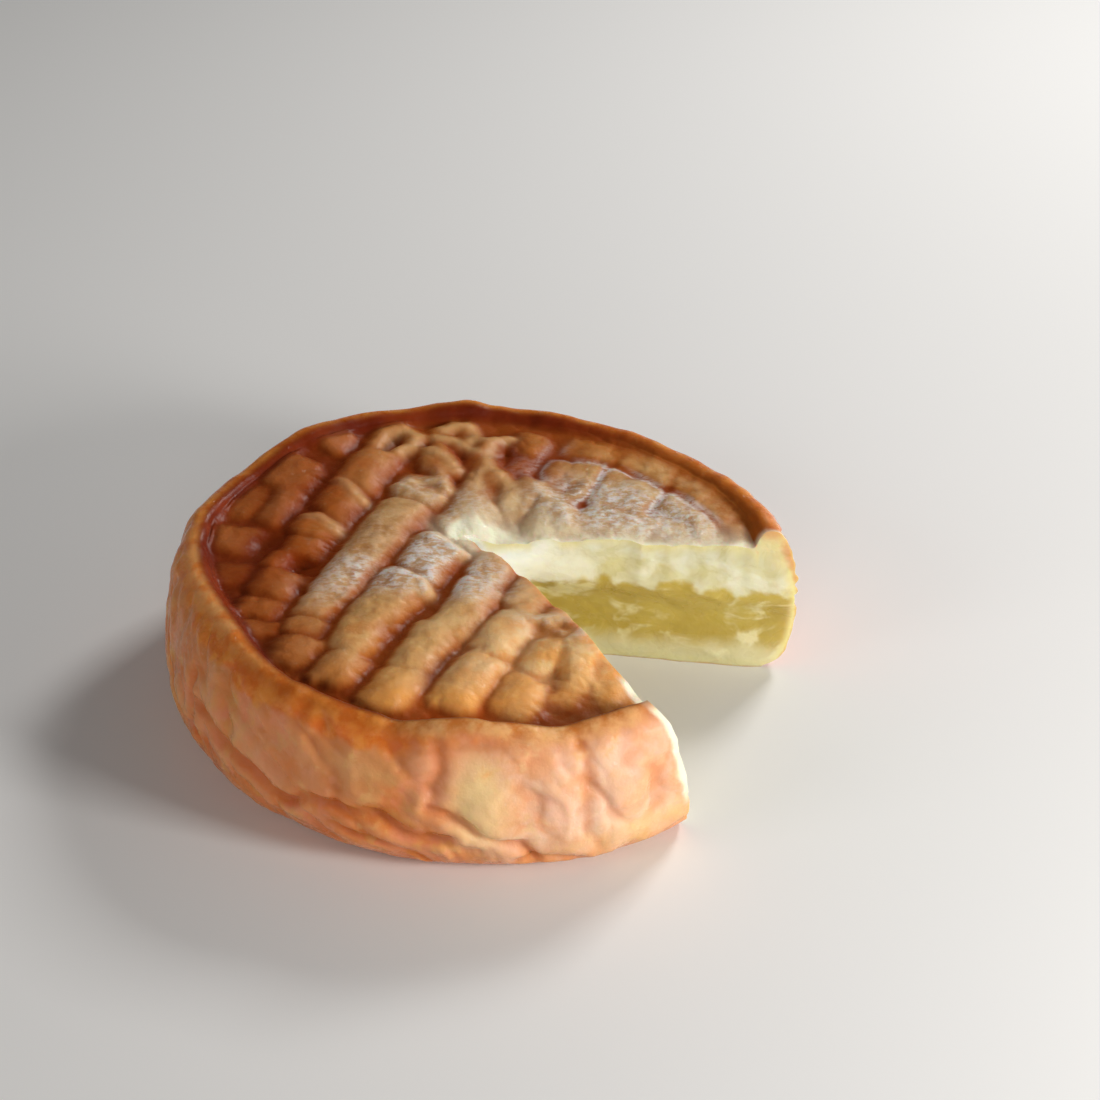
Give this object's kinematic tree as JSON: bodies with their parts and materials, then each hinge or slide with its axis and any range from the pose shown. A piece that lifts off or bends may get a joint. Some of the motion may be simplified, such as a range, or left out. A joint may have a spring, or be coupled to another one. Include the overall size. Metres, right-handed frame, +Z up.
{
  "type": "soft washed-rind cheese wheel",
  "caption": "Small soft washed-rind cheese wheel with a raised rim, a ridged top and a wedge cut out, standing on its flat underside.",
  "frame": {"origin": "middle of the flat underside, at the centre of the bounding box", "axes": "+Z up out of the ridged top, -Y towards the front, where the picture was taken from; the missing wedge opens towards +X, between the directions 3 and 58 degrees clockwise of +X"},
  "size_m": [0.1132, 0.1129, 0.0294],
  "materials": {
    "rind": "satin, slightly moist washed rind, orange-brown with paler ridges; pale cream paste on the two cut faces"
  },
  "bodies": {
    "root": {"wheel": "rind"}
  },
  "joints": []
}
